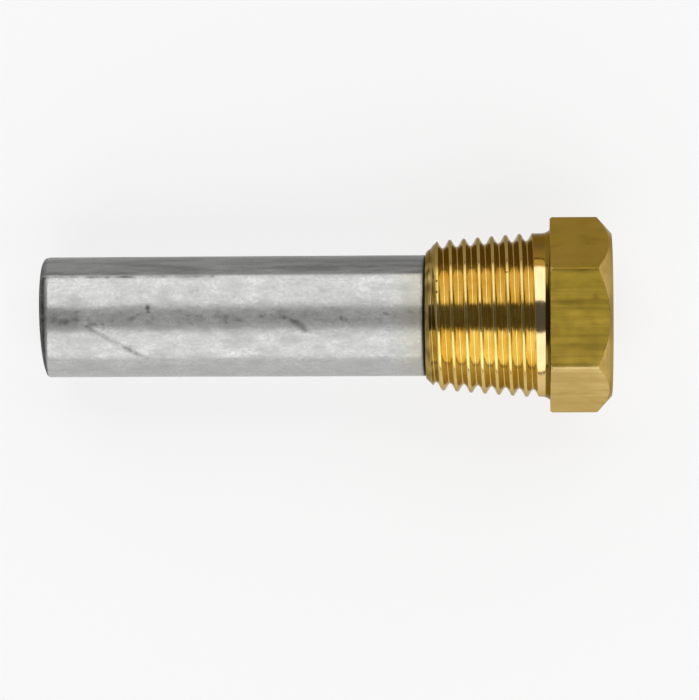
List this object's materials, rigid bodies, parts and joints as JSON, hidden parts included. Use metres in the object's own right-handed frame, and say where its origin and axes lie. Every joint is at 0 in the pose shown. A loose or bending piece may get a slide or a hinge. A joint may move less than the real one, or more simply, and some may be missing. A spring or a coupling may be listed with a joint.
{
  "type": "sacrificial anode",
  "caption": "Zinc pencil anode screwed into a brass pipe plug with a hexagon head and a tapered male pipe thread, for the cooling water side of a marine engine.",
  "frame": {"origin": "on the axis, in the gauge plane of the tapered pipe thread, 8.128 mm from the plug's small end, where the mouth of the port comes when the plug is hand tight", "axes": "+X along the axis from the pencil's tip to the hexagon head; +Z square to the hexagon flat that faces up; +Y through a corner of the hexagon"},
  "size_m": [0.0745, 0.0256, 0.0222],
  "materials": {
    "brass": "turned from drawn hexagon bar",
    "zinc": "as cast and cropped, dull grey"
  },
  "bodies": {
    "root": {"brass_plug": "brass", "zinc_pencil": "zinc"}
  },
  "joints": []
}
